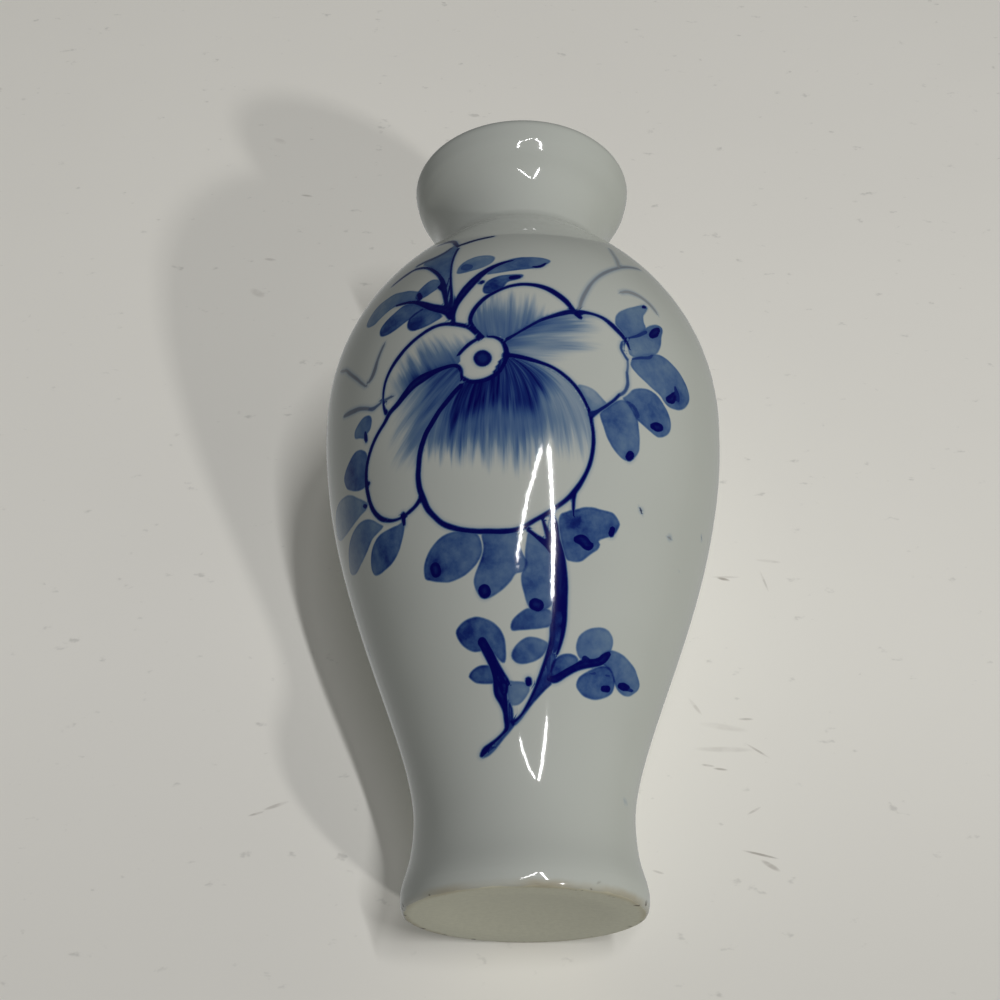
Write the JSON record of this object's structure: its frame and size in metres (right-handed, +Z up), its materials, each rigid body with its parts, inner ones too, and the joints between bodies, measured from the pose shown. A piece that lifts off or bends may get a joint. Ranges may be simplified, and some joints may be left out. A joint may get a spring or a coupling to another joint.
{
  "type": "bud vase",
  "caption": "Small hollow porcelain baluster vase with a waisted foot, full shoulder and short flared neck.",
  "frame": {"origin": "centre of the foot, on the surface that the vase stands on", "axes": "+Z up the vase's axis of revolution to the mouth, -Y towards the side with the painted spray"},
  "size_m": [0.059, 0.059, 0.12],
  "materials": {
    "porcelain": "gloss"
  },
  "bodies": {
    "root": {"vase": "porcelain"}
  },
  "joints": []
}
